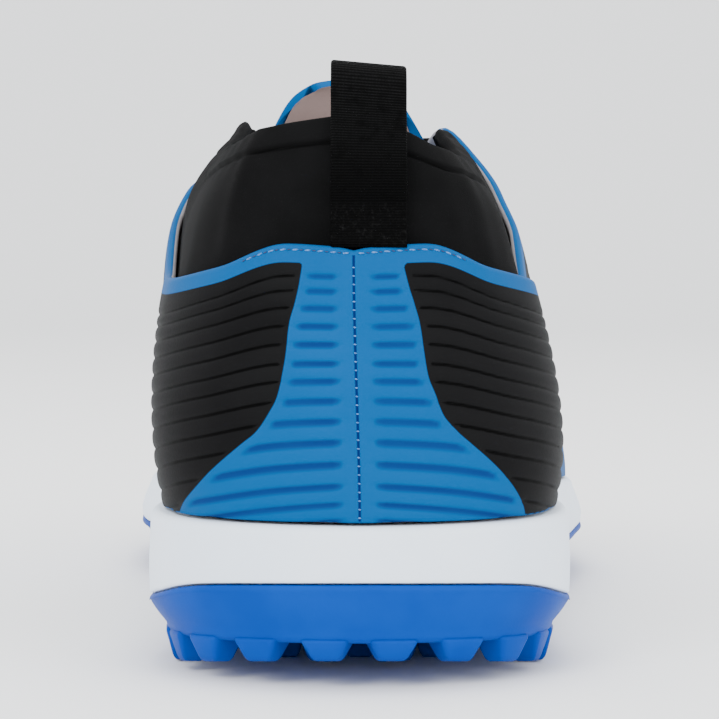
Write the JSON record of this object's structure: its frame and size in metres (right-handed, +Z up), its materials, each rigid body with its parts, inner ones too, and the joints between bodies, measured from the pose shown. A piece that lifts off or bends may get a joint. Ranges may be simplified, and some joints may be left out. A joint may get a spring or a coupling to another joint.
{
  "type": "turf shoe",
  "caption": "Low laced turf shoe for the right foot: ribbed moulded upper, stretch collar with pull loop, foam midsole, lugged rubber outsole.",
  "frame": {"origin": "on the floor, below the middle of the sole's outline", "axes": "+Y from heel to toe, +X to the outer side of the foot, +Z up"},
  "size_m": [0.1023, 0.288, 0.1088],
  "materials": {
    "rubber_blue": "satin moulded rubber",
    "foam_white": "matte foam",
    "skin_blue_black": "moulded synthetic skin with ribs, blue and black panels",
    "knit_black": "matte stretch knit",
    "tongue_blue": "blue outside, grey-pink lining inside",
    "lining_grey": "brushed lining cloth",
    "webbing_black": "woven webbing",
    "lace_black": "flat braided lace"
  },
  "bodies": {
    "root": {"outsole": "rubber_blue", "midsole": "foam_white", "upper": "skin_blue_black", "collar": "knit_black", "tongue": "tongue_blue", "insole": "lining_grey", "pull_loop": "webbing_black", "laces": "lace_black"}
  },
  "joints": []
}
